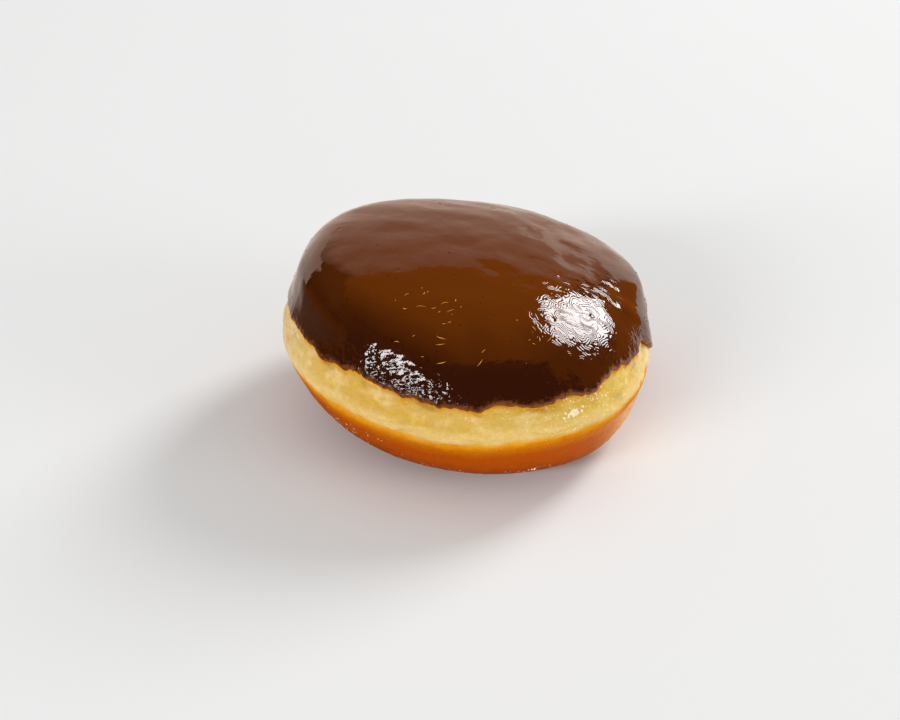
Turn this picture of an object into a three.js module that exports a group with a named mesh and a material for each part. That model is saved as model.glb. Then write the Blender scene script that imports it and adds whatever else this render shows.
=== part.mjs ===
import * as THREE from "three";

// A filled doughnut: a round fried bun with a thick coat of chocolate icing over its dome.
// Millimetres. +Z is up from the flat base, -Y is the front and +X is the right-hand side.
// The dough rose unevenly, so the flank on the left is fuller and steeper than the one on the right.

// Stations down the bun's flank from the crown to the rim of the base: [radius, height].
const LEFT_FLANK = [
  [0, 46],
  [15.2, 45.3],
  [28.1, 42.8],
  [36.0, 37.7],
  [41.4, 30.4],
  [48.2, 21.2],
  [46.8, 13.8],
  [42.6, 6.9],
  [35.3, 2.3],
  [27.6, 0],
];
const RIGHT_FLANK = [
  [0, 46],
  [14.0, 45.3],
  [26.9, 42.8],
  [37.9, 37.7],
  [45.6, 30.4],
  [48.7, 21.2],
  [46.2, 13.8],
  [43.0, 6.9],
  [35.4, 2.3],
  [27.6, 0],
];

const BUN_HEIGHT = 46;
// How far the crown sits off the middle of the base, to the left.
const CROWN_SHIFT = -9.7;
// The dome's fall from left to right, in mm per mm at the crown's height.
const DOME_FALL = -0.084;
// Swellings of the outline seen from above: [lobes round the bun, cosine share, sine share].
const SWELLINGS = [
  [2, -0.015, -0.003],
  [3, -0.018, 0.019],
  [4, -0.006, 0.005],
];

// Shallow swellings of the skin, or hollows where the size is below zero:
// [azimuth, half width in degrees, height, half height, size].
const BULGES = [
  [38, 26, 39, 6, 1.4],
  [14, 20, 34, 5, 3.1],
  [140, 24, 40, 5, 0.6],
  [165, 28, 30, 6, 0.9],
  [-55, 20, 7, 5, 0.8],
  [-105, 22, 6, 5, 0.5],
  [-4, 18, 22, 4, -0.5],
];
// Inside this radius the bulges fade out towards the crown.
const BULGE_FADE_RADIUS = 20;

const ICING_GAP = 0.3;
// The coat is thickest over the dome and thins towards its rim.
const DOME_THICKNESS = 1.3;
const RIM_THICKNESS = 0.7;
const THINNING_POWER = 3;
// Height of the icing's lower edge above the base, and how much lower it hangs on the right.
const EDGE_HEIGHT = 27.4;
const EDGE_FALL = 2.2;
// Ripples of the lower edge: [waves round the bun, height, phase in degrees].
const EDGE_RIPPLES = [
  [5, 0.3, 40],
  [9, 0.35, 100],
  [16, 0.25, 10],
];
// Tongues of icing that ran further down: [azimuth in degrees, extra length, half width in degrees].
const EDGE_TONGUES = [
  [-87, 0.9, 4],
  [-52, 0.7, 5],
  [-9, 5.2, 5],
  [20, 4.2, 24],
  [97, 2.2, 7],
  [152, 1.3, 9],
];

const SEGMENTS = 120;
const BUN_ROWS = 22;
const ICING_ROWS = 15;
const RIM_STEPS = 5;
const NORMAL_STEP = 1e-3;
const HALVINGS = 30;

// A spline down one flank. Its first two points mirror the dome, so the crown comes out level.
function flankCurve(stations) {
  const mirrored = [stations[2], stations[1]].map(([r, z]) => [-r, z]);
  const points = [...mirrored, ...stations];
  return new THREE.SplineCurve(points.map(([r, z]) => new THREE.Vector2(r, z)));
}

const leftCurve = flankCurve(LEFT_FLANK);
const rightCurve = flankCurve(RIGHT_FLANK);
// Where the crown lies along a flank's curve, after its two mirrored points.
const CROWN_AT = 2 / (LEFT_FLANK.length + 1);

// 1 at a place given in degrees, fading out over about a width to either side of it.
function near(azimuth, at, width) {
  const turn = THREE.MathUtils.radToDeg(azimuth) - at;
  const away = THREE.MathUtils.euclideanModulo(turn + 180, 360) - 180;
  return Math.exp(-((away / width) ** 2));
}

// How far the bulges push the skin out at an azimuth, and at a height and radius of the flank.
function bulgeAt(azimuth, height, radius) {
  const size = BULGES.reduce(
    (sum, [at, width, middle, reach, most]) =>
      sum + most * near(azimuth, at, width) * Math.exp(-(((height - middle) / reach) ** 2)),
    0,
  );
  return size * THREE.MathUtils.clamp(radius / BULGE_FADE_RADIUS, 0, 1);
}

// The bun's skin at an azimuth and a depth, which runs from 0 at the crown to 1 at the base's rim.
function bunPoint(azimuth, depth) {
  const t = CROWN_AT + (1 - CROWN_AT) * depth;
  const left = leftCurve.getPoint(t);
  const right = rightCurve.getPoint(t);
  const flank = left.lerp(right, 0.5 + 0.5 * Math.cos(azimuth));
  const swell = SWELLINGS.reduce(
    (sum, [n, c, s]) => sum + c * Math.cos(n * azimuth) + s * Math.sin(n * azimuth),
    1,
  );
  const radius = flank.x * swell + bulgeAt(azimuth, flank.y, flank.x);
  const x = radius * Math.cos(azimuth);
  const y = radius * Math.sin(azimuth);
  const rise = flank.y / BUN_HEIGHT;
  return new THREE.Vector3(
    x + CROWN_SHIFT * rise * rise,
    y,
    flank.y + rise * DOME_FALL * x,
  );
}

// The outward normal of the skin, and the direction that runs straight down it.
function skinFrame(azimuth, depth) {
  if (depth === 0) {
    const across = bunPoint(0, NORMAL_STEP).sub(bunPoint(Math.PI, NORMAL_STEP));
    const along = bunPoint(Math.PI / 2, NORMAL_STEP).sub(bunPoint(-Math.PI / 2, NORMAL_STEP));
    return { normal: across.cross(along).normalize(), down: new THREE.Vector3() };
  }
  const down = bunPoint(azimuth, depth + NORMAL_STEP)
    .sub(bunPoint(azimuth, depth - NORMAL_STEP))
    .normalize();
  const round = bunPoint(azimuth + NORMAL_STEP, depth).sub(bunPoint(azimuth - NORMAL_STEP, depth));
  return { normal: down.clone().cross(round).normalize(), down };
}

// The height of the icing's edge at an azimuth.
function edgeHeight(azimuth) {
  let height = EDGE_HEIGHT - EDGE_FALL * Math.cos(azimuth);
  for (const [waves, size, phase] of EDGE_RIPPLES)
    height += size * Math.sin(waves * azimuth + THREE.MathUtils.degToRad(phase));
  for (const [at, length, width] of EDGE_TONGUES) height -= length * near(azimuth, at, width);
  return height;
}

// The depth at which the skin passes through a height, found by halving.
function depthAtHeight(azimuth, height) {
  let [low, high] = [0, 1];
  for (let step = 0; step < HALVINGS; step++) {
    const middle = (low + high) / 2;
    if (bunPoint(azimuth, middle).z > height) low = middle;
    else high = middle;
  }
  return (low + high) / 2;
}

// A lathed surface whose rows are then moved: shape(azimuth, row) says where each point goes.
// A lathe's own rows start at the bottom, and these are counted from the crown.
function shapedLathe(rows, shape) {
  const profile = Array.from({ length: rows }, (_, j) => {
    const onAxis = j === 0 || j === rows - 1;
    return new THREE.Vector2(onAxis ? 0 : 1, j);
  });
  const geometry = new THREE.LatheGeometry(profile, SEGMENTS);
  const position = geometry.attributes.position;
  for (let i = 0; i <= SEGMENTS; i++) {
    const azimuth = ((i % SEGMENTS) / SEGMENTS) * 2 * Math.PI - Math.PI / 2;
    for (let j = 0; j < rows; j++) {
      const p = shape(azimuth, rows - 1 - j);
      position.setXYZ(i * rows + j, p.x, p.y, p.z);
    }
  }
  geometry.computeVertexNormals();
  return geometry;
}

function bunGeometry() {
  const centre = new THREE.Vector3(0, 0, 0);
  return shapedLathe(BUN_ROWS + 2, (azimuth, row) =>
    row > BUN_ROWS ? centre : bunPoint(azimuth, row / BUN_ROWS),
  );
}

// A skin point of the icing: lifted off the bun, and moved down the flank past the station.
function icingPoint(azimuth, depth, lift, past) {
  const { normal, down } = skinFrame(azimuth, depth);
  return bunPoint(azimuth, depth).addScaledVector(normal, lift).addScaledVector(down, past);
}

// The coat's thickness at a share of the way from the crown to its edge.
function thicknessAt(share) {
  return THREE.MathUtils.lerp(DOME_THICKNESS, RIM_THICKNESS, share ** THINNING_POWER);
}

// Rows run down the outside, round the rounded rim and back up the inside.
function icingGeometry() {
  const rimRadius = RIM_THICKNESS / 2;
  const rows = 2 * ICING_ROWS + RIM_STEPS;
  return shapedLathe(rows, (azimuth, row) => {
    const edge = depthAtHeight(azimuth, edgeHeight(azimuth));
    if (row < ICING_ROWS) {
      const share = row / ICING_ROWS;
      return icingPoint(azimuth, edge * share, ICING_GAP + thicknessAt(share), 0);
    }
    if (row >= ICING_ROWS + RIM_STEPS) {
      const share = (rows - 1 - row) / ICING_ROWS;
      return icingPoint(azimuth, edge * share, ICING_GAP, 0);
    }
    const turn = (Math.PI * (row - ICING_ROWS)) / (RIM_STEPS - 1);
    const lift = ICING_GAP + rimRadius * (1 + Math.cos(turn));
    return icingPoint(azimuth, edge, lift, rimRadius * Math.sin(turn));
  });
}

const bun = new THREE.Mesh(
  bunGeometry(),
  new THREE.MeshStandardMaterial({ color: 0xe2ac5c, roughness: 0.6, metalness: 0 }),
);
bun.name = "bun";

const icing = new THREE.Mesh(
  icingGeometry(),
  new THREE.MeshStandardMaterial({ color: 0x4a2410, roughness: 0.12, metalness: 0 }),
);
icing.name = "chocolate_icing";

const doughnut = new THREE.Group();
doughnut.name = "filled_doughnut";
doughnut.add(bun, icing);

// The origin is under the middle of the whole doughnut, on the plane it rests on.
const box = new THREE.Box3().setFromObject(doughnut, true);
doughnut.position.set(-(box.min.x + box.max.x) / 2, -(box.min.y + box.max.y) / 2, -box.min.z);

export default doughnut;
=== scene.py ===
import math
import random

import bmesh
import bpy
import numpy as np
from bpy.props import FloatProperty, FloatVectorProperty, IntProperty, PointerProperty
from mathutils import Euler, Matrix, Vector, noise


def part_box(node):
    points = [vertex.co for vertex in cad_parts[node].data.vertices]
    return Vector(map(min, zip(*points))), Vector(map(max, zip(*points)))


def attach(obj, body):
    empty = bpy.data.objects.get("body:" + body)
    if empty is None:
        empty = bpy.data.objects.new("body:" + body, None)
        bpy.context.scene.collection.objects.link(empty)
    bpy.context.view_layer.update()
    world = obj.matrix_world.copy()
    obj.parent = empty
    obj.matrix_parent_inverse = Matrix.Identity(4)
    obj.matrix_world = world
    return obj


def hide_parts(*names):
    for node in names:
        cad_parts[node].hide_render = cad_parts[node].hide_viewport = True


bl_info = {
    "name": "Filled Doughnut",
    "version": (1, 0, 0),
    "blender": (4, 5, 0),
    "location": "3D View > Sidebar > Doughnut",
    "description": "Builds a chocolate-iced filled doughnut and its small studio stage",
    "category": "Add Mesh",
}

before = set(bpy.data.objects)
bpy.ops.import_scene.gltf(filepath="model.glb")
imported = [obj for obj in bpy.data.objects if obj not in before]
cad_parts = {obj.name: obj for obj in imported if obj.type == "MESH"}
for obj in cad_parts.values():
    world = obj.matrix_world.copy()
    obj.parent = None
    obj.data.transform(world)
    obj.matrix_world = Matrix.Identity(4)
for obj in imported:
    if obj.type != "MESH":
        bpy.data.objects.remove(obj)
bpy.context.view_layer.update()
BODY = "root"
MM = 0.001
TURN = 2 * math.pi

# ---------------------------------------------------------------- the bun's form, in millimetres

# Stations down the flank from the crown to the rim of the base: (radius, height).
LEFT_FLANK = [
    (0, 46), (15.2, 45.3), (28.1, 42.8), (36.0, 37.7), (41.4, 30.4),
    (48.2, 21.2), (46.8, 13.8), (42.6, 6.9), (35.3, 2.3), (27.6, 0),
]
RIGHT_FLANK = [
    (0, 46), (14.0, 45.3), (26.9, 42.8), (37.9, 37.7), (45.6, 30.4),
    (48.7, 21.2), (46.2, 13.8), (43.0, 6.9), (35.4, 2.3), (27.6, 0),
]
BUN_HEIGHT = 46.0
CROWN_SHIFT = -9.7
DOME_FALL = -0.084
# Swellings of the outline seen from above: (lobes round the bun, cosine share, sine share).
SWELLINGS = [(2, -0.015, -0.003), (3, -0.018, 0.019), (4, -0.006, 0.005)]

# The icing's lower edge: its height, its fall to the right, ripples (waves, height, phase in
# degrees) and tongues (azimuth and half width in degrees, length).
EDGE_HEIGHT = 27.4
EDGE_FALL = 2.2
EDGE_RIPPLES = [(5, 0.3, 40), (9, 0.35, 100), (16, 0.25, 10)]
EDGE_TONGUES = [
    (-87, 4, 0.9), (-52, 5, 0.7), (-9, 5, 5.2), (20, 24, 4.2), (97, 7, 2.2), (152, 9, 1.3),
]
ICING_GAP = 0.3

# Height of the line where the pale waist meets the browned underside: waves as above.
BROWN_LINE = 17.6
BROWN_WAVES = [
    (1, 0.5, 160), (1, 0.8, 240), (2, 0.8, 25), (3, 0.5, 250), (5, 0.6, 80), (8, 0.3, 300),
]

# Shallow swellings of the skin, or hollows where the size is below zero: azimuth and half width
# in degrees, height, half height, size. They fade out inside a radius about the crown.
BULGES = [
    (38, 26, 39, 6, 1.4), (14, 20, 34, 5, 3.1), (140, 24, 40, 5, 0.6), (165, 28, 30, 6, 0.9),
    (-55, 20, 7, 5, 0.8), (-105, 22, 6, 5, 0.5), (-4, 18, 22, 4, -0.5),
]
BULGE_FADE_RADIUS = 20.0


def spline(stations, depth):
    """Points at depths 0 to 1 on the curve through the stations, level at the crown."""
    mirrored = [(-r, z) for r, z in (stations[2], stations[1])]
    knots = np.array(mirrored + list(stations), float)
    last = len(knots) - 1
    at = 2 + (last - 2) * np.asarray(depth, float)
    i = np.clip(np.floor(at).astype(int), 0, last)
    w = (at - i)[..., None]
    before, here = knots[np.maximum(i - 1, 0)], knots[i]
    after, beyond = knots[np.minimum(i + 1, last)], knots[np.minimum(i + 2, last)]
    leave, arrive = (after - before) / 2, (beyond - here) / 2
    cubic = (2 * here - 2 * after + leave + arrive) * w ** 3
    square = (-3 * here + 3 * after - 2 * leave - arrive) * w ** 2
    return cubic + square + leave * w + here


def near(azimuth, at, width):
    """1 at an azimuth given in degrees, fading out over about a width to either side of it."""
    away = (np.degrees(azimuth) - at + 180) % 360 - 180
    return np.exp(-((away / width) ** 2))


def bulge(azimuth, height, radius):
    """How far the bulges push the skin out, at a height and radius of the flank."""
    size = sum(
        most * near(azimuth, at, width) * np.exp(-(((height - middle) / reach) ** 2))
        for at, width, middle, reach, most in BULGES
    )
    return size * np.clip(radius / BULGE_FADE_RADIUS, 0, 1)


def skin(azimuth, depth):
    """The smooth bun's skin at an azimuth in radians and a depth, in the form's own place."""
    azimuth, depth = np.broadcast_arrays(azimuth, depth)
    right_share = (0.5 + 0.5 * np.cos(azimuth))[..., None]
    flank = spline(LEFT_FLANK, depth) * (1 - right_share) + spline(RIGHT_FLANK, depth) * right_share
    swell = 1 + sum(
        c * np.cos(n * azimuth) + s * np.sin(n * azimuth) for n, c, s in SWELLINGS
    )
    radius = flank[..., 0] * swell + bulge(azimuth, flank[..., 1], flank[..., 0])
    x = radius * np.cos(azimuth)
    y = radius * np.sin(azimuth)
    rise = flank[..., 1] / BUN_HEIGHT
    z = flank[..., 1] + rise * DOME_FALL * x
    return np.stack([x + CROWN_SHIFT * rise ** 2, y, z], -1)


def skin_normal(azimuth, depth, step=1e-3):
    """The skin's outward directions."""
    here = np.maximum(depth, step)
    down = skin(azimuth, np.minimum(here + step, 1)) - skin(azimuth, here - step)
    around = skin(azimuth + step, here) - skin(azimuth - step, here)
    normal = np.cross(down, around)
    return normal / np.linalg.norm(normal, axis=-1, keepdims=True)


def waves(azimuth, terms):
    """The sum of some waves round the bun."""
    return sum(size * np.sin(n * azimuth + math.radians(phase)) for n, size, phase in terms)


def edge_height(azimuth):
    """Height of the icing's edge, without its fine crumbs."""
    height = EDGE_HEIGHT - EDGE_FALL * np.cos(azimuth) + waves(azimuth, EDGE_RIPPLES)
    for at, width, length in EDGE_TONGUES:
        height = height - length * near(azimuth, at, width)
    return height


def depth_at_height(azimuth, height):
    """The depth at which the skin passes through a height, by halving."""
    low, high = np.zeros_like(azimuth), np.ones_like(azimuth)
    for _ in range(26):
        middle = (low + high) / 2
        above = skin(azimuth, middle)[..., 2] > height
        low, high = np.where(above, middle, low), np.where(above, high, middle)
    return (low + high) / 2


def form_offset():
    """What moves the form's own place to the CAD bun's place, in millimetres."""
    azimuth, depth = np.meshgrid(np.linspace(0, TURN, 121)[:-1], np.linspace(0, 1, 23))
    form = skin(azimuth, depth).reshape(-1, 3)
    low, high = (np.array(corner, float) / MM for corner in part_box("bun"))
    middle = (low + high) / 2 - (form.min(0) + form.max(0)) / 2
    return np.array([middle[0], middle[1], low[2] - form[:, 2].min()])


OFFSET = form_offset()
# Length of skin, in millimetres, for one unit of depth near the icing's edge.
ARC = 95.0


# ---------------------------------------------------------------- mesh helpers


# How far the noise of one seed lies from that of the next, in lumps.
SEED_SHIFT = np.array([17.3, -8.1, 5.7])


def noise_at(points, size, seed, stretch=(1, 1, 1)):
    """Smooth noise from -1 to 1 with lumps of about the size given, in millimetres."""
    scale = np.array(stretch, float) * size
    flat = (points.reshape(-1, 3) / scale + SEED_SHIFT * seed).tolist()
    values = [noise.noise(p) for p in flat]
    return np.array(values).reshape(points.shape[:-1])


def relief(points, layers):
    """The sum of some layers of noise, each with a lump size, a seed and a height."""
    return sum(noise_at(points, size, seed) * height for size, seed, height in layers)


def smooth_step(value, low, high):
    """0 at low and 1 at high, with a smooth rise between them."""
    t = np.clip((value - low) / (high - low), 0, 1)
    return t * t * (3 - 2 * t)


def ring_mesh(name, rows):
    """A closed mesh through rows of points round the axis; the first and last are poles."""
    count, columns = rows.shape[:2]
    inner = rows[1:-1].reshape(-1, 3)
    points = np.vstack([rows[0].mean(0)[None], inner, rows[-1].mean(0)[None]]) * MM
    bottom = len(points) - 1
    turn = np.arange(columns)
    following = (turn + 1) % columns
    faces = [(0, 1 + i, 1 + j) for i, j in zip(turn, following)]
    for row in range(count - 3):
        here, below = 1 + row * columns, 1 + (row + 1) * columns
        faces += zip(here + turn, below + turn, below + following, here + following)
    edge = 1 + (count - 3) * columns
    faces += [(bottom, edge + j, edge + i) for i, j in zip(turn, following)]
    mesh = bpy.data.meshes.new(name)
    mesh.from_pydata(points.tolist(), [], [tuple(int(v) for v in face) for face in faces])
    mesh.validate()
    mesh.shade_smooth()
    return mesh


def add_float_layer(mesh, name, values, shape):
    """Gives ring_mesh's points a value each, which the material reads by name."""
    rows = np.pad(values, ((0, shape[0] - len(values)), (0, 0)), "edge")
    ordered = np.concatenate([[rows[0].mean()], rows[1:-1].ravel(), [rows[-1].mean()]])
    layer = mesh.attributes.new(name, "FLOAT", "POINT")
    layer.data.foreach_set("value", ordered.astype(np.float32))


def new_piece(name, mesh, material, replaces=None):
    """A piece of the doughnut, in place of a CAD piece where one is named."""
    piece = bpy.data.objects.new(name, mesh)
    bpy.context.scene.collection.objects.link(piece)
    piece.data.materials.append(material)
    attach(piece, BODY)
    if replaces:
        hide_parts(replaces)
    return piece


# ---------------------------------------------------------------- node helpers


class Nodes:
    """A material's node tree, built a node at a time."""

    def __init__(self, name):
        self.material = bpy.data.materials.new(name)
        self.material.use_nodes = True
        self.tree = self.material.node_tree
        self.shader = self.tree.nodes["Principled BSDF"]
        self.place = self.add("ShaderNodeTexCoord").outputs["Object"]

    def add(self, kind, **settings):
        """A new node with some of its settings changed."""
        node = self.tree.nodes.new(kind)
        for key, value in settings.items():
            setattr(node, key, value)
        return node

    def put(self, value, socket):
        """Links an output to a socket, or sets the socket's own value."""
        if isinstance(value, bpy.types.NodeSocket):
            self.tree.links.new(value, socket)
        else:
            socket.default_value = value

    def stretched(self, scale):
        """The piece's own place, scaled along each axis."""
        mapping = self.add("ShaderNodeMapping")
        self.put(self.place, mapping.inputs["Vector"])
        mapping.inputs["Scale"].default_value = scale
        return mapping.outputs["Vector"]

    def noise(self, size, detail=2.0, roughness=0.5, vector=None, distortion=0.0):
        """Noise from 0 to 1 with lumps of about the size given, in millimetres."""
        node = self.add("ShaderNodeTexNoise")
        self.put(vector or self.place, node.inputs["Vector"])
        node.inputs["Scale"].default_value = 1 / (size * MM)
        node.inputs["Detail"].default_value = detail
        node.inputs["Roughness"].default_value = roughness
        node.inputs["Distortion"].default_value = distortion
        return node.outputs["Fac"]

    def cells(self, size):
        """Distance from the middles of cells of about the size given, in millimetres."""
        node = self.add("ShaderNodeTexVoronoi")
        self.put(self.place, node.inputs["Vector"])
        node.inputs["Scale"].default_value = 1 / (size * MM)
        return node.outputs["Distance"]

    def math(self, operation, first, second=0.0):
        node = self.add("ShaderNodeMath", operation=operation)
        self.put(first, node.inputs[0])
        self.put(second, node.inputs[1])
        return node.outputs[0]

    def times(self, first, second):
        return self.math("MULTIPLY", first, second)

    def plus(self, first, second):
        return self.math("ADD", first, second)

    def uneven(self, value, amount, size, detail=2.0, roughness=0.5, vector=None):
        """A value moved up and down by noise, by up to half the amount either way."""
        drift = self.math("SUBTRACT", self.noise(size, detail, roughness, vector), 0.5)
        return self.plus(value, self.times(drift, amount))

    def fit(self, value, low, high, to_low=0.0, to_high=1.0):
        """A value's smooth passage from low to high, as one from to_low to to_high."""
        node = self.add("ShaderNodeMapRange", interpolation_type="SMOOTHSTEP")
        self.put(value, node.inputs["Value"])
        self.put(low, node.inputs["From Min"])
        self.put(high, node.inputs["From Max"])
        self.put(to_low, node.inputs["To Min"])
        self.put(to_high, node.inputs["To Max"])
        return node.outputs["Result"]

    def mix(self, share, first, second, blend="MIX"):
        """The first colour with a share of the second over it."""
        node = self.add("ShaderNodeMix", data_type="RGBA", blend_type=blend)
        self.put(share, node.inputs[0])
        self.put(first, node.inputs[6])
        self.put(second, node.inputs[7])
        return node.outputs[2]

    def grey(self, value):
        node = self.add("ShaderNodeCombineColor")
        for channel in ("Red", "Green", "Blue"):
            self.put(value, node.inputs[channel])
        return node.outputs["Color"]

    def layer(self, name):
        """A value that the mesh carries for each of its points."""
        return self.add("ShaderNodeAttribute", attribute_name=name).outputs["Fac"]

    def bump(self, height, distance, strength=1.0, under=None):
        """A relief whose height is given in millimetres, on top of another one."""
        node = self.add("ShaderNodeBump")
        node.inputs["Strength"].default_value = strength
        node.inputs["Distance"].default_value = distance * MM
        self.put(height, node.inputs["Height"])
        if under:
            self.put(under, node.inputs["Normal"])
        return node.outputs["Normal"]

    def set(self, socket, value):
        """Links an output to one of the shader's sockets, or sets the socket's own value."""
        self.put(value, self.shader.inputs[socket])


def colour(values):
    """A colour with the fourth value that colour sockets have."""
    return (*values, 1.0)


# ---------------------------------------------------------------- what a user can change


class BunSettings(bpy.types.PropertyGroup):
    columns: IntProperty(
        name="Columns", description="Points round the bun", default=600, min=60, max=1200)
    rows: IntProperty(
        name="Rows", description="Rows of points from the icing to the base", default=126,
        min=20, max=300)
    unevenness: FloatProperty(
        name="Unevenness", description="Height of the skin's broad swells",
        default=0.35 * MM, min=0, max=2 * MM, unit="LENGTH", precision=5)
    wrinkles: FloatProperty(
        name="Wrinkles", description="Depth of the creases round the pale waist",
        default=0.36 * MM, min=0, max=1 * MM, unit="LENGTH", precision=5)
    dimples: FloatProperty(
        name="Dimples", description="Depth of the soft hollows in the pale waist",
        default=0.65 * MM, min=0, max=2 * MM, unit="LENGTH", precision=5)
    waist_colour: FloatVectorProperty(
        name="Waist", description="Pale crumb of the waist", subtype="COLOR",
        default=(0.71, 0.435, 0.100), min=0, max=1)
    light_colour: FloatVectorProperty(
        name="Light Patches", description="Paler patches of the waist", subtype="COLOR",
        default=(0.84, 0.60, 0.225), min=0, max=1)
    # Painted shade laid into the creases and dimples, and also the colour of the waist's deeper
    # yellow blotches.
    crease_yellow_and_shade: FloatVectorProperty(
        name="Creases", description="Deeper yellow of the creases", subtype="COLOR",
        default=(0.72, 0.44, 0.062), min=0, max=1)
    right_colour: FloatVectorProperty(
        name="Right Waist", description="Greener crumb of the waist's right side",
        subtype="COLOR", default=(0.72, 0.52, 0.112), min=0, max=1)
    # Painted sheen at both sides of the waist, where it is seen edge-on, with a powdery grain.
    side_sheen_colour: FloatVectorProperty(
        name="Powder", description="Powdery crumb at both ends of the waist", subtype="COLOR",
        default=(0.80, 0.62, 0.36), min=0, max=1)
    golden_colour: FloatVectorProperty(
        name="Golden", description="Golden line between the waist and the underside",
        subtype="COLOR", default=(0.82, 0.33, 0.006), min=0, max=1)
    orange_colour: FloatVectorProperty(
        name="Orange", description="Crust just under the golden line", subtype="COLOR",
        default=(0.62, 0.165, 0.0005), min=0, max=1)
    underside_colour: FloatVectorProperty(
        name="Underside", description="Browned crust of the underside", subtype="COLOR",
        default=(0.47, 0.079, 0.0), min=0, max=1)
    base_colour: FloatVectorProperty(
        name="Base", description="Darkest crust, where the bun lay in the fat", subtype="COLOR",
        default=(0.30, 0.044, 0.0), min=0, max=1)
    # Painted sheen of grazing light on the right of the underside, with a sugary grain.
    lower_right_sheen_colour: FloatVectorProperty(
        name="Frost", description="Dried sugar film on the right of the underside",
        subtype="COLOR", default=(0.80, 0.40, 0.17), min=0, max=1)


class IcingSettings(bpy.types.PropertyGroup):
    columns: IntProperty(
        name="Columns", description="Points round the icing", default=640, min=60, max=1200)
    rows: IntProperty(
        name="Rows", description="Rows of points from the crown to the edge", default=180,
        min=20, max=300)
    thickness: FloatProperty(
        name="Thickness", description="Thickness of the coat over the dome",
        default=1.3 * MM, min=0.5 * MM, max=4 * MM, unit="LENGTH", precision=5)
    rim_thickness: FloatProperty(
        name="Rim Thickness", description="Thickness the coat thins to at its edge",
        default=0.7 * MM, min=0.2 * MM, max=4 * MM, unit="LENGTH", precision=5)
    roll: FloatProperty(
        name="Roll", description="Length over which the coat rounds off to its edge",
        default=1.9 * MM, min=0.5 * MM, max=6 * MM, unit="LENGTH", precision=5)
    swell: FloatProperty(
        name="Swell", description="Height of the coat's broad waves",
        default=0.32 * MM, min=0, max=1 * MM, unit="LENGTH", precision=5)
    ripple: FloatProperty(
        name="Ripple", description="Height of the coat's fine ripples",
        default=0.05 * MM, min=0, max=0.5 * MM, unit="LENGTH", precision=5)
    rings: FloatProperty(
        name="Rings", description="How closely the fine rings of the dried skin lie",
        default=85.0, min=0, max=300)
    colour: FloatVectorProperty(
        name="Chocolate", description="Chocolate over the dome", subtype="COLOR",
        default=(0.086, 0.0185, 0.0015), min=0, max=1)
    # Painted shade: the colour the coat darkens to towards its edge, where less light falls.
    lower_shade_colour: FloatVectorProperty(
        name="Deep Chocolate", description="Chocolate where the coat gathers and is thick",
        subtype="COLOR", default=(0.033, 0.0060, 0.0012), min=0, max=1)
    # Painted shade of tiny pits, which the mesh lacks.
    pinhole_shade_colour: FloatVectorProperty(
        name="Pinholes", description="Specks where tiny bubbles broke", subtype="COLOR",
        default=(0.01, 0.002, 0.0005), min=0, max=1)
    fringe_colour: FloatVectorProperty(
        name="Fringe", description="Thin red-brown fringe of the edge", subtype="COLOR",
        default=(0.21, 0.050, 0.009), min=0, max=1)


class FleckSettings(bpy.types.PropertyGroup):
    sugar: FloatProperty(
        name="Sugar Flecks", description="Share of the flakes of dried glaze that are made",
        default=1.0, min=0, max=2)
    beads: IntProperty(
        name="Beads", description="Tiny beads set in the icing", default=110, min=0, max=600)
    # The golden shreds are painted glints of light, made as golden slivers on the coat.
    glints: IntProperty(
        name="Golden Shreds", description="Golden shreds on the icing", default=30, min=0, max=200)
    sugar_colour: FloatVectorProperty(
        name="Sugar", description="Dried sugar glaze", subtype="COLOR",
        default=(1.0, 0.88, 0.58), min=0, max=1)
    # Colour of the painted glints.
    glint_colour: FloatVectorProperty(
        name="Shred", description="Golden shreds", subtype="COLOR",
        default=(1.0, 0.43, 0.05), min=0, max=1)


class StageSettings(bpy.types.PropertyGroup):
    floor_colour: FloatVectorProperty(
        name="Floor", description="Plain pale floor", subtype="COLOR",
        default=(0.87, 0.868, 0.865), min=0, max=1)
    # Painted shade: the floor at the front left as the gloss sees it.
    gloss_front: FloatVectorProperty(
        name="Gloss Front", description="The floor at the front left as the gloss shows it",
        subtype="COLOR", default=(0.26, 0.13, 0.07), min=0, max=1)
    gloss_back: FloatVectorProperty(
        name="Gloss Back", description="The floor behind and on the right as the gloss shows it",
        subtype="COLOR", default=(0.95, 0.79, 0.69), min=0, max=1)
    key_glow: FloatProperty(
        name="Key", description="Glow of the oval key light behind on the right", default=14.5,
        min=0, max=100)
    fill_glow: FloatProperty(
        name="Fill", description="Glow of the oval light at the front left", default=18.0,
        min=0, max=100)
    side_glow: FloatProperty(
        name="Side", description="Glow of the soft light at the front right", default=5.0,
        min=0, max=100)
    wall_glow: FloatProperty(
        name="Wall", description="Glow of the pale wall behind", default=1.1, min=0, max=10)
    ceiling_glow: FloatProperty(
        name="Ceiling", description="Glow of the warm ceiling", default=0.85, min=0, max=10)
    ambient: FloatProperty(
        name="Ambient", description="Strength of the even light from all round", default=0.44,
        min=0, max=4)
    focal_length: FloatProperty(
        name="Focal Length", description="Lens of the camera", default=62.8, min=10, max=300,
        unit="CAMERA")


class DoughnutSettings(bpy.types.PropertyGroup):
    bun: PointerProperty(type=BunSettings)
    icing: PointerProperty(type=IcingSettings)
    flecks: PointerProperty(type=FleckSettings)
    stage: PointerProperty(type=StageSettings)


# ---------------------------------------------------------------- finishes


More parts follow.
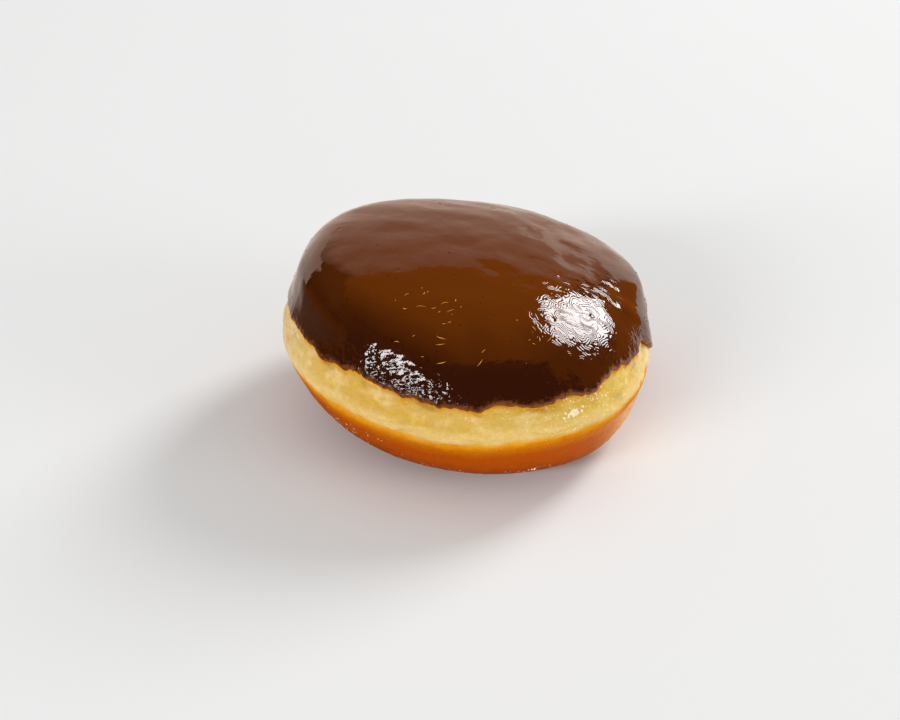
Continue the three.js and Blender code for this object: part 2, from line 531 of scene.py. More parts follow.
def fried_dough(settings):
    """Pale porous crumb round the waist, turning golden and then brown under it."""
    n = Nodes("fried_dough")
    wide = n.stretched((1, 1, 1.8))
    under = n.layer("below_brown_line")

    # The waist: paler patches, a greener right side, yellow blotches and painted crease shade.
    patches = n.noise(6.0, 3, 0.5, wide)
    pale = n.mix(n.fit(patches, 0.42, 0.66), colour(settings.waist_colour),
                 colour(settings.light_colour))
    right = n.times(n.layer("right"), n.fit(patches, 0.30, 0.62, 1.0, 0.35))
    pale = n.mix(right, pale, colour(settings.right_colour))
    yellow = n.times(n.fit(n.noise(4.6, 3, 0.5, wide), 0.50, 0.66, 0.0, 0.9),
                     n.fit(under, -2.5, -5.0))
    pale = n.mix(yellow, pale, colour(settings.crease_yellow_and_shade))
    # Painted shade: the creases and dimples take the deeper crease colour.
    pale = n.mix(n.times(n.layer("crease"), 0.9), pale, colour(settings.crease_yellow_and_shade))

    # A lighter band lies just over the golden line; both sides of the waist get painted sheen.
    band = n.times(n.fit(under, -5.5, -2.6), n.fit(under, 0.3, -1.3))
    pale = n.mix(n.times(band, 0.65), pale, colour(settings.light_colour))
    side_sheen = n.times(n.layer("side_sheen_mask"), n.fit(n.noise(1.6, 3, 0.6), 0.25, 0.6))
    pale = n.mix(n.times(side_sheen, 0.8), pale, colour(settings.side_sheen_colour))

    # The crust's colours follow one another down from the golden line, at uneven heights.
    under = n.uneven(under, 1.8, 5.5, 3, 0.55, wide)
    crust = n.mix(n.fit(under, -1.7, 0.4), pale, colour(settings.golden_colour))
    crust = n.mix(n.fit(under, -0.2, 2.0), crust, colour(settings.orange_colour))
    crust = n.mix(n.fit(under, 1.3, 5.0), crust, colour(settings.underside_colour))
    mottled = n.uneven(under, 6.0, 4.0, 4, 0.6)
    crust = n.mix(n.fit(mottled, 6.0, 13.0), crust, colour(settings.base_colour))

    # A golden tinge runs along the icing's edge, and painted sheen lies on the underside.
    tinge = n.uneven(n.layer("below_icing"), 1.6, 2.0)
    crust = n.mix(n.fit(tinge, 1.3, 0.0, 0.0, 0.8), crust, colour(settings.golden_colour))
    grains = n.fit(n.noise(1.2), 0.10, 0.55, 0.4, 1.0)
    crust = n.mix(n.times(n.layer("lower_right_sheen"), grains), crust, colour(settings.lower_right_sheen_colour))
    speckle = n.times(n.fit(n.noise(0.5, 2, 0.6), 0.25, 0.75, 0.93, 1.04),
                      n.fit(n.noise(1.3, 3, 0.6), 0.25, 0.75, 0.95, 1.04))
    n.set("Base Color", n.mix(1.0, crust, n.grey(speckle), "MULTIPLY"))

    # The browned crust is a little smoother than the crumb.
    matt = n.fit(n.noise(1.8, 3, 0.6), 0.3, 0.7, 0.52, 0.66)
    smoother = n.times(n.fit(under, 0.0, 3.0), 0.12)
    n.set("Roughness", n.math("SUBTRACT", matt, smoother))
    pores = n.bump(n.cells(0.85), 0.07, 0.5)
    crumb = n.bump(n.noise(0.60, 3, 0.7), 0.12, 0.6, pores)
    n.set("Normal", n.bump(n.noise(2.0, 3, 0.6, wide), 0.35, 0.6, crumb))
    n.set("Specular IOR Level", 0.03)
    n.set("Subsurface Weight", 0.2)
    n.set("Subsurface Radius", (1.0, 0.45, 0.14))
    n.set("Subsurface Scale", 2 * MM)
    return n.material


def chocolate(settings):
    """Wet chocolate coat, glossy over the dome and duller and redder at its edge."""
    n = Nodes("chocolate_icing")
    above = n.layer("above_edge")
    # The coat darkens towards its edge, where less light falls: painted shade.
    lower_shade = n.fit(n.uneven(above, 9.0, 11, 3), 24.0, 7.0)
    body = n.mix(lower_shade, colour(settings.colour), colour(settings.lower_shade_colour))
    thin = n.uneven(above, 3.6, 1.1, 3, 0.65)
    body = n.mix(n.fit(thin, 1.6, 0.0, 0.0, 0.9), body, colour(settings.fringe_colour))
    # Tiny dark specks stand for pits that the mesh lacks: painted shade.
    pinhole_shade = n.fit(n.cells(3.0), 0.055, 0.085)
    n.set("Base Color", n.mix(pinhole_shade, colour(settings.pinhole_shade_colour), body))

    gloss = n.fit(n.noise(1.4, 3, 0.6), 0.35, 0.75, 0.028, 0.055)
    gloss = n.plus(gloss, n.times(n.layer("lumpy"), 0.08))
    n.set("Roughness", n.plus(gloss, n.fit(thin, 2.4, 0.3, 0.0, 0.16)))

    # The skin that dried first has fine rings and a crackle in it, and the rim is gritty.
    dried = n.layer("dried_skin")
    rings = n.math("SINE", n.times(n.noise(4.0, 1, 0.4), settings.rings))
    rings = n.bump(n.times(rings, dried), 0.013)
    crackle = n.times(n.noise(0.9, distortion=0.6), dried)
    crackle = n.bump(crackle, 0.03, 0.8, rings)
    ripples = n.bump(n.noise(2.0, 1, distortion=0.5), 0.04, 0.4, crackle)
    grit = n.times(n.noise(1.2, 1.5, distortion=0.5), n.layer("lumpy"))
    n.set("Normal", n.bump(grit, 0.40, 0.8, ripples))
    n.set("IOR", 1.5)
    return n.material


def plain_finish(name, base, roughness, grain_size, darker):
    """A plain finish for the smallest pieces: one colour with a fine, darker mottle."""
    n = Nodes(name)
    grain = n.noise(grain_size, 2, 0.6)
    dark = tuple(c * darker for c in base)
    n.set("Base Color", n.mix(n.fit(grain, 0.35, 0.65), colour(base), colour(dark)))
    n.set("Roughness", n.fit(grain, 0.3, 0.7, roughness * 0.85, roughness * 1.15))
    n.set("Normal", n.bump(grain, grain_size * 0.1, 0.3))
    return n.material


# The gloss sees the floor's front colour up to the first of these sums of x and y, in
# millimetres, and its back colour from the second.
GLOSS_STEP = (-75, -25)


def floor_finish(settings):
    """Plain pale floor; the gloss sees it warmer, and in painted shade at the front left."""
    n = Nodes("pale_floor")
    shade = tuple(c * 0.985 for c in settings.floor_colour)
    plain = n.mix(n.noise(250), colour(settings.floor_colour), colour(shade))
    across = n.add("ShaderNodeSeparateXYZ")
    n.put(n.place, across.inputs[0])
    back = n.plus(across.outputs["X"], across.outputs["Y"])
    step = n.fit(back, *(place * MM for place in GLOSS_STEP))
    seen = n.mix(step, colour(settings.gloss_front), colour(settings.gloss_back))
    glossy = n.add("ShaderNodeLightPath").outputs["Is Glossy Ray"]
    n.set("Base Color", n.mix(glossy, plain, seen))
    n.set("Roughness", n.fit(n.noise(20), 0.3, 0.7, 0.55, 0.62))
    n.set("Normal", n.bump(n.noise(1.2), 0.02, 0.2))
    n.set("Specular IOR Level", 0.0)
    return n.material


# ---------------------------------------------------------------- pieces


# The crust is lowered a little, which leaves room for its swells under the form's own skin.
CRUST_SINK = 0.25
# Layers of fine relief: lump size, seed and height, in millimetres.
CRUST_GRAIN = [(1.3, 5, 0.08), (0.9, 6, 0.05)]
EDGE_CRUMBS = [(3.6, 21, 0.70), (1.5, 22, 0.50), (0.7, 23, 0.16)]
EDGE_RADIUS = 48
PORE_SIZE, PORE_DEPTH = 1.7, 0.22
# A shallow groove along the golden line: its height over the line, half height and depth.
GROOVE_HEIGHT, GROOVE_HALF_HEIGHT, GROOVE_DEPTH = -0.4, 1.1, 0.08
# Rows of points where the icing hides the bun, and how far the closer rows start under it.
HIDDEN_ROWS = 12
EDGE_OVERLAP = 2.5
# Shares of its radius at which the base has a row of points.
BASE_ROWS = (0.85, 0.6, 0.3, 0)
# How close to 0 the noise that the creases follow comes within them.
CREASE_WIDTH = 0.14


def bun_surface(azimuth, depth, edge, settings):
    """Points of the bun's uneven crust, their directions, and the fields it is coloured by."""
    azimuth = np.broadcast_to(azimuth, depth.shape)
    points = skin(azimuth, depth)
    normal = skin_normal(azimuth, depth)
    height = points[..., 2]
    over_line = height - BROWN_LINE - waves(azimuth, BROWN_WAVES)

    # The relief fades out at the base and under the icing, and the waist's own under its line.
    bare = smooth_step(height, 0, 3.0) * smooth_step(depth - edge, -0.03, -0.01)
    waist = bare * smooth_step(over_line, -3, 1)
    swell = noise_at(points, 17, 1) + 0.4 * noise_at(points, 6, 2, (1.6, 1.6, 1))
    lift = bare * (swell * settings.unevenness / MM - CRUST_SINK)
    dimple = waist * smooth_step(noise_at(points, 2.9, 8, (2.2, 2.2, 1)), -0.1, 0.6)
    lift -= dimple * settings.dimples / MM
    lift -= waist * PORE_DEPTH * smooth_step(noise_at(points, PORE_SIZE, 7), 0.3, 0.6)
    lift += bare * relief(points, CRUST_GRAIN)
    groove = np.exp(-(((over_line - GROOVE_HEIGHT) / GROOVE_HALF_HEIGHT) ** 2))
    lift -= bare * GROOVE_DEPTH * groove

    # Long creases follow the lines along which one broad noise changes its sign.
    fold = 1 - np.abs(noise_at(points, 2.6, 3, (5, 5, 1))) / CREASE_WIDTH
    patch = smooth_step(noise_at(points, 9, 4, (1.6, 1.6, 1)), -0.08, 0.16)
    crease = waist * patch * smooth_step(fold, 0, 1)
    lift -= crease * settings.wrinkles / MM

    # Painted sheen of grazing light lies between the base and the golden line, on the right.
    lower_right_sheen = near(azimuth, -27, 17) * smooth_step(height, 1, 6)
    lower_right_sheen = lower_right_sheen * smooth_step(-over_line, 1.0, 3.4)
    fields = {
        "below_brown_line": -over_line,
        "below_icing": (depth - edge) * ARC,
        # Painted shade: where the creases and dimples get the deeper crease colour.
        "crease": np.maximum(crease, 0.8 * dimple),
        # Painted sheen of grazing light on the right of the underside.
        "lower_right_sheen": np.minimum(lower_right_sheen * 1.4, 1),
        "right": near(azimuth, -45, 42),
        # Painted sheen at both sides of the waist, where it is seen edge-on.
        "side_sheen_mask": np.maximum(near(azimuth, -14, 16), near(azimuth, -172, 20)),
    }
    return points + normal * lift[..., None] + OFFSET, normal, fields


def make_bun(settings):
    """The fried bun, from under the icing's edge down to its flat base."""
    azimuth = np.linspace(0, TURN, settings.columns, endpoint=False)
    edge = icing_edge(azimuth)
    start = edge - EDGE_OVERLAP / ARC
    hidden = np.linspace(0, 1, HIDDEN_ROWS, endpoint=False)[:, None] * start
    shown = start + np.linspace(0, 1, settings.rows)[:, None] * (1 - start)
    points, _, fields = bun_surface(azimuth, np.vstack([hidden, shown]), edge, settings)
    middle = OFFSET * np.array([1, 1, 0])
    base = [middle + (points[-1] - middle) * share for share in BASE_ROWS]
    rows = np.concatenate([points, np.array(base)])
    rows[..., 2] = np.maximum(rows[..., 2], 0)
    mesh = ring_mesh("fried_bun", rows)
    for name, values in fields.items():
        add_float_layer(mesh, name, values, rows.shape[:2])
    return new_piece("fried_bun", mesh, fried_dough(settings), "bun")


def icing_edge(azimuth):
    """Depth of the icing's ragged edge: the plain edge with fine crumbs and scallops."""
    ring = np.stack([np.cos(azimuth), np.sin(azimuth), np.zeros_like(azimuth)], -1)
    crumbs = relief(ring * EDGE_RADIUS, EDGE_CRUMBS)
    return depth_at_height(azimuth, edge_height(azimuth) + crumbs)


# Pits in the coat: azimuth in degrees, depth, then their radius and how deep they go.
PITS = [
    (-31, 0.348, 0.6, 0.26), (-47.5, 0.301, 0.5, 0.22), (-52, 0.31, 0.3, 0.1),
    (-33, 0.33, 0.3, 0.1), (-125, 0.238, 0.4, 0.13), (-122, 0.15, 0.4, 0.13),
    (169, 0.20, 0.4, 0.13), (-80, 0.12, 0.4, 0.1), (-70, 0.40, 0.4, 0.1), (60, 0.2, 0.5, 0.13),
    (120, 0.3, 0.5, 0.13), (-20, 0.25, 0.4, 0.1),
]
# The spot where the coat's skin dried first and lies smooth, and the spot's radius.
DRY_SPOT = (-38, 0.33)
DRY_RADIUS = 13
# Width of the ridges over the dome, and how many times longer they are.
RIDGE_SIZE, RIDGE_STRETCH = 4.2, 3
# Lumps over the coat's edge: lump size, seed and height.
EDGE_LUMPS = [(3.0, 35, 0.20), (1.3, 36, 0.26)]
# How bluntly the coat rounds off: 1 gives a straight chamfer and 2 a quarter circle.
BLUNTNESS = 2.2
# How strongly the rows of points crowd towards the edge, and the rows of the coat's inside.
CROWDING = 1.35
INSIDE_ROWS = 11
# How far above the edge the inside's first row lies.
INSIDE_STEP = 1.2
# How deep the very edge dips into the crust, and how far above it that starts.
EDGE_DIP, EDGE_DIP_REACH = 0.1, 0.4
# How far above the edge the thinner coat at both sides reaches.
THIN_REACH = 7


def distance_from(points, place):
    """How far points lie from a place given as its azimuth in degrees and its depth."""
    azimuth, depth = place
    return np.linalg.norm(points - skin(np.radians(azimuth), np.array(depth)), axis=-1)


def coat_surface(azimuth, depth, edge, settings):
    """Points of the coat's outside, their directions, and the fields it is finished by."""
    azimuth = np.broadcast_to(azimuth, depth.shape)
    points = skin(azimuth, depth)
    normal = skin_normal(azimuth, depth)
    above = (edge - depth) * ARC
    thickness, rim, roll, swell, ripple = (
        value / MM
        for value in (settings.thickness, settings.rim_thickness, settings.roll, settings.swell,
                      settings.ripple)
    )

    # Broad waves and fine ripples lie flatter where the skin dried first.
    dried = np.exp(-((distance_from(points, DRY_SPOT) / DRY_RADIUS) ** 2))
    lift = thickness + (rim - thickness) * (depth / edge) ** 3
    lift += noise_at(points, 24, 31) * 0.8 * swell
    lift += noise_at(points, 6.5, 32, (1.6, 1, 1)) * 0.75 * swell * (1 - 0.75 * dried)
    fine = noise_at(points, 3.5, 33) + 0.3 * noise_at(points, 1.5, 34)
    lift += fine * ripple * (1 - 0.55 * dried)

    # Long ridges run round the dome, most of all behind on the right.
    around = points[..., :2] / RIDGE_STRETCH
    belt = np.concatenate([around, (depth * ARC)[..., None]], -1)
    ridges = noise_at(belt, RIDGE_SIZE, 38) * smooth_step(depth, 0.08, 0.2) * (1 - 0.6 * dried)
    lift += ridges * (0.05 + 0.15 * near(azimuth, 45, 60) + 0.05 * near(azimuth, 34, 18))

    # The coat set lumpy above its edge, most of all at the front left and on the right.
    front_left, right = near(azimuth, -112, 28), near(azimuth, -5, 32)
    reach = 3.0 + 5.0 * front_left + 0.8 * right
    lumpy = (0.3 + 0.7 * np.maximum(front_left, right)) * np.exp(-((above / reach) ** 2))
    lift += relief(points, EDGE_LUMPS) * lumpy
    for *place, radius, deep in PITS:
        lift -= deep * np.exp(-((distance_from(points, place) / radius) ** 2))

    # It thins out further at both sides and rounds off to the skin at its edge.
    sides = near(azimuth, 180, 40) + near(azimuth, 2, 24)
    lift *= 1 - 0.5 * sides * np.exp(-((above / THIN_REACH) ** 2))
    uneven = 1 + 0.5 * noise_at(skin(azimuth, edge), 4.5, 37)
    roll = roll * uneven * (1 + 0.5 * sides)
    rounding = (1 - (1 - np.clip(above / roll, 0, 1)) ** BLUNTNESS) ** (1 / BLUNTNESS)
    lift = ICING_GAP + lift * rounding
    lift -= (ICING_GAP + EDGE_DIP) * smooth_step(above, EDGE_DIP_REACH, 0)

    fields = {"above_edge": above, "dried_skin": 0.08 + 0.92 * dried, "lumpy": lumpy}
    return points + normal * lift[..., None] + OFFSET, normal, fields


def make_icing(settings):
    """The chocolate coat: its outside, its edge and its inside close over the bun."""
    azimuth = np.linspace(0, TURN, settings.columns, endpoint=False)
    edge = icing_edge(azimuth)
    share = 1 - (1 - np.linspace(0, 1, settings.rows)) ** CROWDING
    outside, _, fields = coat_surface(azimuth, share[:, None] * edge, edge, settings)

    depth = np.linspace(1, 0, INSIDE_ROWS + 1)[1:, None] * edge
    depth[0] = edge - INSIDE_STEP / ARC
    around = np.broadcast_to(azimuth, depth.shape)
    inside = skin(around, depth) + skin_normal(around, depth) * ICING_GAP + OFFSET
    rows = np.concatenate([outside, inside])
    mesh = ring_mesh("chocolate_coat", rows)
    for name, values in fields.items():
        add_float_layer(mesh, name, values, rows.shape[:2])
    return new_piece(
        "chocolate_coat", mesh, chocolate(settings), "chocolate_icing")


def spot(surface, azimuth, depth, edge, settings):
    """A place on one of the surfaces and its direction, in metres."""
    points, normal, _ = surface(np.array([azimuth]), np.array([depth]), edge, settings)
    return Vector(points[0] * MM), Vector(normal[0])


def add_grain(bm, place, normal, size, flatness, draw):
    """An irregular grain, pressed flat along the normal and half sunk into the skin."""
    made = bmesh.ops.create_icosphere(bm, subdivisions=1, radius=1)
    turn = normal.to_track_quat("Z", "Y").to_matrix()
    spin = Matrix.Rotation(draw.uniform(0, TURN), 3, "Z")
    long = draw.uniform(0.7, 1.4)
    for vertex in made["verts"]:
        p = vertex.co * draw.uniform(0.7, 1.15)
        shaped = Vector((p.x * size * long, p.y * size / long, p.z * size * flatness))
        vertex.co = place + turn @ (spin @ shaped)


def finish_bmesh(name, bm, material, smooth):
    """A piece made of what has been built so far."""
    mesh = bpy.data.meshes.new(name)
    bm.to_mesh(mesh)
    bm.free()
    if smooth:
        mesh.shade_smooth()
    return new_piece(name, mesh, material)


# Flakes of dried glaze: azimuth and its spread in degrees, the heights and the radii between
# which they lie, and how many there are.
GLAZE_SPOTS = [
    (-58, 13, 19.5, 26.5, 0.08, 0.24, 110),
    (-61, 1.7, 22.6, 23.8, 0.26, 0.50, 34),
    (-51, 2.5, 23.0, 25.5, 0.12, 0.30, 26),
    (-36, 9, 19.0, 24.0, 0.08, 0.24, 50),
    (-134, 6, 7.0, 14.5, 0.09, 0.24, 34),
    (-106, 7, 5.5, 8.5, 0.08, 0.20, 26),
    (-74, 0.8, 7.6, 8.6, 0.20, 0.36, 7),
    (-75, 5, 6.5, 9.5, 0.08, 0.20, 16),
    (0, 110, 4.0, 24.0, 0.05, 0.13, 130),
]
# Thickness of a flake and of a bead as a share of its width.
FLAKE_FLATNESS = 0.5
BEAD_FLATNESS = 0.8
# Radii of the beads, then how far above the edge they lie as a share of the edge's depth: the
# least of it and the spread. One bead in four lies anywhere over the dome instead.
BEAD_RADII = (0.10, 0.26)
BEAD_LEAST, BEAD_SPREAD = 0.06, 0.10
BEADS_PER_STRAY = 4
# Where the painted glints lie, made as golden slivers, and where one in five of them does:
# azimuth and its spread in degrees, then the depths between which they lie.
GLINT_FIELD = (-97, 13, 0.18, 0.38)
GLINT_GROUP = (-58, 4, 0.27, 0.34)
GLINTS_PER_GROUPED = 5
# Lengths and widths of the slivers, the turns that they sweep through, and their steps.
GLINT_LENGTHS = [0.5, 0.9, 1.4, 2.4]
GLINT_WIDTHS = (0.13, 0.24)
GLINT_BENDS = (0.3, 1.6)
GLINT_STEPS = 8
# How far a sliver's middle stands off the coat.
GLINT_GAP = 0.02
# One random draw for each kind of fleck.
SUGAR_SEED, BEAD_SEED, GLINT_SEED = 11, 23, 5


def make_sugar_flecks(bun, settings):
    """Flakes of dried glaze, thickest on the right of the waist and along the base."""
    draw = random.Random(SUGAR_SEED)
    bm = bmesh.new()
    for middle, spread, low, high, small, large, count in GLAZE_SPOTS:
        for _ in range(round(count * settings.sugar)):
            azimuth = math.radians(draw.gauss(middle, spread))
            height = np.array([draw.uniform(low, high)])
            depth = depth_at_height(np.array([azimuth]), height)[0]
            edge = icing_edge(np.array([azimuth]))
            place, normal = spot(bun_surface, azimuth, depth, edge, bun)
            size = draw.uniform(small, large) * MM
            add_grain(bm, place, normal, size, FLAKE_FLATNESS, draw)
    finish = plain_finish(
        "sugar_glaze", settings.sugar_colour, roughness=0.32, grain_size=0.4, darker=0.9)
    return finish_bmesh("sugar_flecks", bm, finish, False)


def make_icing_beads(icing, settings):
    """Small beads and nibs of icing, mostly near its edge."""
    draw = random.Random(BEAD_SEED)
    bm = bmesh.new()
    for i in range(settings.beads):
        azimuth = draw.uniform(0, TURN)
        edge = icing_edge(np.array([azimuth]))
        near_edge = 1 - abs(draw.gauss(0, BEAD_SPREAD)) - BEAD_LEAST
        share = near_edge if i % BEADS_PER_STRAY else draw.uniform(0.1, 0.95)
        place, normal = spot(coat_surface, azimuth, edge[0] * share, edge, icing)
        add_grain(bm, place, normal, draw.uniform(*BEAD_RADII) * MM, BEAD_FLATNESS, draw)
    # The beads take the colour of the coat's painted shade, with a darker mottle.
    finish = plain_finish(
        "icing_bead", icing.lower_shade_colour, roughness=0.16, grain_size=0.5, darker=0.7)
    return finish_bmesh("icing_beads", bm, finish, True)


def add_glint_sliver(bm, place, normal, radius, sweep, width, start):
    """A thin curved sliver of painted glint, with tapered ends and a raised middle."""
    turn = normal.to_track_quat("Z", "Y").to_matrix()
    middle = Vector((math.cos(start + sweep / 2), math.sin(start + sweep / 2), 0)) * radius
    rings = []
    for i in range(GLINT_STEPS + 1):
        t = i / GLINT_STEPS
        angle = start + sweep * t
        half = max(width * math.sin(math.pi * t), width * 0.08) / 2
        ring = []
        for across, high in ((-half, 0.0), (0.0, half * 0.9), (half, 0.0)):
            r = radius + across
            local = Vector((r * math.cos(angle), r * math.sin(angle), high)) - middle
            ring.append(bm.verts.new(place + turn @ local))
        rings.append(ring)
    for one, two in zip(rings, rings[1:]):
        for a, b in ((0, 1), (1, 2), (2, 0)):
            bm.faces.new((one[a], two[a], two[b], one[b]))
    bm.faces.new(rings[0])
    bm.faces.new(reversed(rings[-1]))


def make_painted_glints(icing, settings):
    """Painted glints, made as golden slivers over the dome's front, some in a group at its right.
    """
    draw = random.Random(GLINT_SEED)
    bm = bmesh.new()
    for i in range(settings.glints):
        middle, spread, low, high = GLINT_FIELD if i % GLINTS_PER_GROUPED else GLINT_GROUP
        azimuth = math.radians(draw.gauss(middle, spread))
        depth = draw.uniform(low, high)
        edge = icing_edge(np.array([azimuth]))
        place, normal = spot(coat_surface, azimuth, depth, edge, icing)
        length, bend = draw.choice(GLINT_LENGTHS) * MM, draw.uniform(*GLINT_BENDS)
        heading = draw.choice([0.5, 1.5]) * math.pi + draw.gauss(0, 0.5)
        width = draw.uniform(*GLINT_WIDTHS) * MM
        place = place + normal * GLINT_GAP * MM
        add_glint_sliver(bm, place, normal, length / bend, bend, width, heading)
    bmesh.ops.recalc_face_normals(bm, faces=bm.faces)
    finish = plain_finish(
        "painted_glint", settings.glint_colour, roughness=0.35, grain_size=0.3, darker=0.75)
    return finish_bmesh("painted_glints", bm, finish, True)


# ---------------------------------------------------------------- stage

FLOOR_RADIUS = 1.1
# The camera's place, its turn and its roll in degrees, and the width of its sensor.
CAMERA_PLACE = (-0.00462, -0.34593, 0.225)
CAMERA_TURN = (58.39, 0.0, 0.0)
CAMERA_ROLL = -0.55
SENSOR_WIDTH = 36
# Strength of the even light in gloss, and of the plain backdrop beyond the floor.
GLOSS_AMBIENT = 0.02
BACKDROP = 0.86

WARM = (1.0, 0.24, 0.02)
PALE = (1.0, 0.73, 0.60)
DUSKY = (0.80, 0.33, 0.20)
BLACK = (0.0, 0.0, 0.0)

# Oval lights as the doughnut sees them: azimuth, elevation, width, height and roll in degrees.
# The key is split in two: one half shows in gloss only, and the other lights all but the gloss.
KEY_LIGHT = (52, 33.4, 23.5, 30.5, 39)
KEY_WASH = (47.5, 32, 19.5, 28, 30)
FILL_LIGHT = (-136, 21.5, 38, 9, 26)
SIDE_LIGHT = (115, 14, 30, 24, 0)
LIGHT_DISTANCE = 2.5
# The point that the oval lights face.
LIGHT_AIM = Vector((0, 0, 0.03))

# The room seen in the icing: a pale wall behind and a warm ceiling that runs forward from its
# top, both turned by the same angle from the view, and five screens round the sides. The wall
# and the ceiling each fade in between two places along their length.
ROOM_TURN = math.radians(36)
WALL_MIDDLE = (1.43, 3.30, 1.0)
WALL_HALF_SIZE = (3.2, 1.2)
WALL_FADE = (-3.5, -2.6)
CEILING_MIDDLE = (0.45, 0.81, 2.2)
CEILING_HALF_SIZE = (3.5, 1.66)
CEILING_FADE = (-3.3, -0.6)
# Each screen: name, then azimuth, elevation, half width and half height in degrees, the share
# of the wall's or the ceiling's glow, and the tints of its bottom and its top.
SCREENS = [
    ("left_screen", -36, 8, 15, 16, 1.0, "wall_glow", PALE, PALE),
    ("right_screen", 57, 9, 19, 13, 1.0, "ceiling_glow", WARM, WARM),
    ("back_right_screen", 27, 9, 11, 11, 1.2, "wall_glow", PALE, PALE),
    ("front_screen", 85, 30, 15, 20, 0.8, "ceiling_glow", WARM, WARM),
    ("side_screen", -78, 8, 22, 12, 0.5, "ceiling_glow", WARM, BLACK),
]
SCREEN_DISTANCE = 1.5


def towards(azimuth, elevation, distance):
    """A place seen from the doughnut; azimuth 0 is straight behind it and 90 to its right."""
    a, e = math.radians(azimuth), math.radians(elevation)
    flat = distance * math.cos(e)
    return Vector((flat * math.sin(a), flat * math.cos(a), distance * math.sin(e)))


def half_span(distance, angle):
    """Half the length that a whole angle in degrees spans at a distance."""
    return distance * math.tan(math.radians(angle / 2))


def add_oval_light(name, azimuth, elevation, width, height, roll, glow):
    """An oval light of an even glow that faces the doughnut."""
    light = bpy.data.lights.new(name, "AREA")
    light.shape = "ELLIPSE"
    light.size = 2 * half_span(LIGHT_DISTANCE, width)
    light.size_y = 2 * half_span(LIGHT_DISTANCE, height)
    light.energy = glow * math.pi * math.pi / 4 * light.size * light.size_y
    lamp = bpy.data.objects.new(name, light)
    place = towards(azimuth, elevation, LIGHT_DISTANCE)
    aim = (-place).to_track_quat("-Z", "Y").to_matrix().to_4x4()
    spin = Matrix.Rotation(math.radians(roll), 4, "Z")
    lamp.matrix_world = Matrix.Translation(place + LIGHT_AIM) @ aim @ spin
    lamp.visible_camera = False
    bpy.context.scene.collection.objects.link(lamp)
    return lamp


def add_glow(name, place, half_size, turn, glow, tints, fade=None):
    """A glowing sheet that only shows in gloss.

    It fades in between two places along its length, and changes tint across its width.
    """
    half_length, half_width = half_size
    bm = bmesh.new()
    bmesh.ops.create_grid(bm, x_segments=1, y_segments=1, size=1)
    for vertex in bm.verts:
        vertex.co.x *= half_length
        vertex.co.y *= half_width
    mesh = bpy.data.meshes.new(name)
    bm.to_mesh(mesh)
    bm.free()
    sheet = bpy.data.objects.new(name, mesh)
    sheet.location = place
    sheet.rotation_euler = turn
    bpy.context.scene.collection.objects.link(sheet)
    sheet.visible_camera = False
    sheet.visible_diffuse = False
    sheet.visible_shadow = False
    sheet.visible_transmission = False

    n = Nodes(name)
    along = n.add("ShaderNodeSeparateXYZ")
    n.put(n.place, along.inputs[0])
    n.set("Base Color", colour(BLACK))
    n.set("Specular IOR Level", 0.0)
    across = n.fit(along.outputs["Y"], -half_width, half_width)
    n.set("Emission Color", n.mix(across, *(colour(tint) for tint in tints)))
    n.set("Emission Strength", n.fit(along.outputs["X"], *fade, 0.0, glow) if fade else glow)
    sheet.data.materials.append(n.material)


def add_screen(name, azimuth, elevation, half_turn, half_rise, glow, tints):
    """An upright glowing sheet that faces the doughnut."""
    half_size = [half_span(SCREEN_DISTANCE, 2 * half) for half in (half_turn, half_rise)]
    turn = (math.pi / 2, 0, -math.radians(azimuth))
    place = towards(azimuth, elevation, SCREEN_DISTANCE)
    add_glow(name, place, half_size, turn, glow, tints)


def add_floor(settings):
    """A plain round floor."""
    bm = bmesh.new()
    bmesh.ops.create_circle(bm, cap_ends=True, segments=128, radius=FLOOR_RADIUS)
    mesh = bpy.data.meshes.new("floor")
    bm.to_mesh(mesh)
    bm.free()
    floor = bpy.data.objects.new("floor", mesh)
    floor.data.materials.append(floor_finish(settings))
    bpy.context.scene.collection.objects.link(floor)


def add_lights(settings):
    """The oval lights, and the wall, ceiling and screens that the icing's gloss shows."""
    key = add_oval_light("key", *KEY_LIGHT, settings.key_glow)
    key.visible_diffuse = False
    wash = add_oval_light("key_wash", *KEY_WASH, settings.key_glow)
    wash.visible_glossy = False
    add_oval_light("fill", *FILL_LIGHT, settings.fill_glow)
    side = add_oval_light("side", *SIDE_LIGHT, settings.side_glow)
    side.visible_glossy = False

    upright, level = (math.pi / 2, 0, ROOM_TURN), (0, 0, ROOM_TURN)
    add_glow("wall", WALL_MIDDLE, WALL_HALF_SIZE, upright, settings.wall_glow,
             (PALE, DUSKY), WALL_FADE)
    add_glow("ceiling", CEILING_MIDDLE, CEILING_HALF_SIZE, level, settings.ceiling_glow,
             (WARM, WARM), CEILING_FADE)
    for name, *place, share, source, bottom, top in SCREENS:
        add_screen(name, *place, share * getattr(settings, source), (bottom, top))


def add_even_light(settings):
    """Even white light from all round, faint in gloss, with a plain backdrop for the camera."""
    world = bpy.data.worlds.new("studio")
    bpy.context.scene.world = world
    world.use_nodes = True
    tree = world.node_tree
    background = tree.nodes["Background"]
    background.inputs["Color"].default_value = (1.0, 1.0, 1.0, 1)
    path = tree.nodes.new("ShaderNodeLightPath")
    strength = tree.nodes.new("ShaderNodeMapRange")
    tree.links.new(path.outputs["Is Glossy Ray"], strength.inputs["Value"])
    strength.inputs["To Min"].default_value = settings.ambient
    strength.inputs["To Max"].default_value = GLOSS_AMBIENT
    seen = tree.nodes.new("ShaderNodeMix")
    tree.links.new(path.outputs["Is Camera Ray"], seen.inputs["Factor"])
    tree.links.new(strength.outputs["Result"], seen.inputs["A"])
    seen.inputs["B"].default_value = BACKDROP
    tree.links.new(seen.outputs["Result"], background.inputs["Strength"])


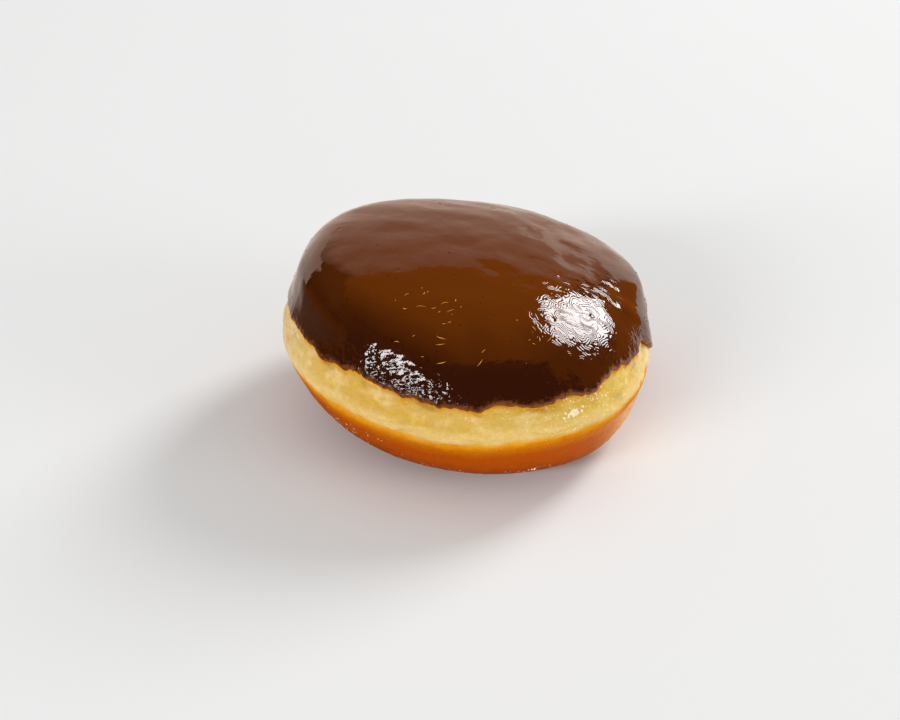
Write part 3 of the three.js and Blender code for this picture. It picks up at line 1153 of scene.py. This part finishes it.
def add_camera(settings):
    """The camera, which looks down at the doughnut from the front."""
    lens = bpy.data.cameras.new("camera")
    lens.lens = settings.focal_length
    lens.sensor_width = SENSOR_WIDTH
    camera = bpy.data.objects.new("camera", lens)
    pitch = Euler([math.radians(a) for a in CAMERA_TURN]).to_matrix().to_4x4()
    roll = Matrix.Rotation(math.radians(CAMERA_ROLL), 4, "Z")
    camera.matrix_world = Matrix.Translation(CAMERA_PLACE) @ pitch @ roll
    bpy.context.scene.collection.objects.link(camera)
    bpy.context.scene.camera = camera


def make_stage(settings):
    """Floor, lights and camera, with colours shown as they are."""
    add_floor(settings)
    add_lights(settings)
    add_even_light(settings)
    add_camera(settings)
    bpy.context.scene.view_settings.view_transform = "Standard"


# ---------------------------------------------------------------- operators, panel and run


def settings_of(context):
    return context.scene.doughnut


class DOUGHNUT_OT_bun(bpy.types.Operator):
    """Build the fried bun"""

    bl_idname = "doughnut.bun"
    bl_label = "Bun"

    def execute(self, context):
        make_bun(settings_of(context).bun)
        return {"FINISHED"}


class DOUGHNUT_OT_icing(bpy.types.Operator):
    """Build the chocolate coat over the dome"""

    bl_idname = "doughnut.icing"
    bl_label = "Icing"

    def execute(self, context):
        make_icing(settings_of(context).icing)
        return {"FINISHED"}


class DOUGHNUT_OT_flecks(bpy.types.Operator):
    """Scatter sugar flecks, icing beads and slivers of painted glint"""

    bl_idname = "doughnut.flecks"
    bl_label = "Flecks"

    def execute(self, context):
        settings = settings_of(context)
        make_sugar_flecks(settings.bun, settings.flecks)
        make_icing_beads(settings.icing, settings.flecks)
        make_painted_glints(settings.icing, settings.flecks)
        return {"FINISHED"}


class DOUGHNUT_OT_stage(bpy.types.Operator):
    """Set up the floor, the lights and the camera"""

    bl_idname = "doughnut.stage"
    bl_label = "Stage"

    def execute(self, context):
        make_stage(settings_of(context).stage)
        return {"FINISHED"}


class DOUGHNUT_PT_panel(bpy.types.Panel):
    bl_idname = "DOUGHNUT_PT_panel"
    bl_label = "Filled Doughnut"
    bl_space_type = "VIEW_3D"
    bl_region_type = "UI"
    bl_category = "Doughnut"

    def draw(self, context):
        settings = settings_of(context)
        for key, operator in (
            ("bun", DOUGHNUT_OT_bun),
            ("icing", DOUGHNUT_OT_icing),
            ("flecks", DOUGHNUT_OT_flecks),
            ("stage", DOUGHNUT_OT_stage),
        ):
            group = getattr(settings, key)
            box = self.layout.box()
            for name in group.__annotations__:
                box.prop(group, name)
            box.operator(operator.bl_idname)


CLASSES = (
    BunSettings, IcingSettings, FleckSettings, StageSettings, DoughnutSettings,
    DOUGHNUT_OT_bun, DOUGHNUT_OT_icing, DOUGHNUT_OT_flecks, DOUGHNUT_OT_stage,
    DOUGHNUT_PT_panel,
)


def register():
    for cls in CLASSES:
        bpy.utils.register_class(cls)
    bpy.types.Scene.doughnut = PointerProperty(type=DoughnutSettings)


def unregister():
    del bpy.types.Scene.doughnut
    for cls in reversed(CLASSES):
        bpy.utils.unregister_class(cls)


def main():
    register()
    bpy.ops.doughnut.bun()
    bpy.ops.doughnut.icing()
    bpy.ops.doughnut.flecks()
    bpy.ops.doughnut.stage()


if __name__ == "__main__":
    main()
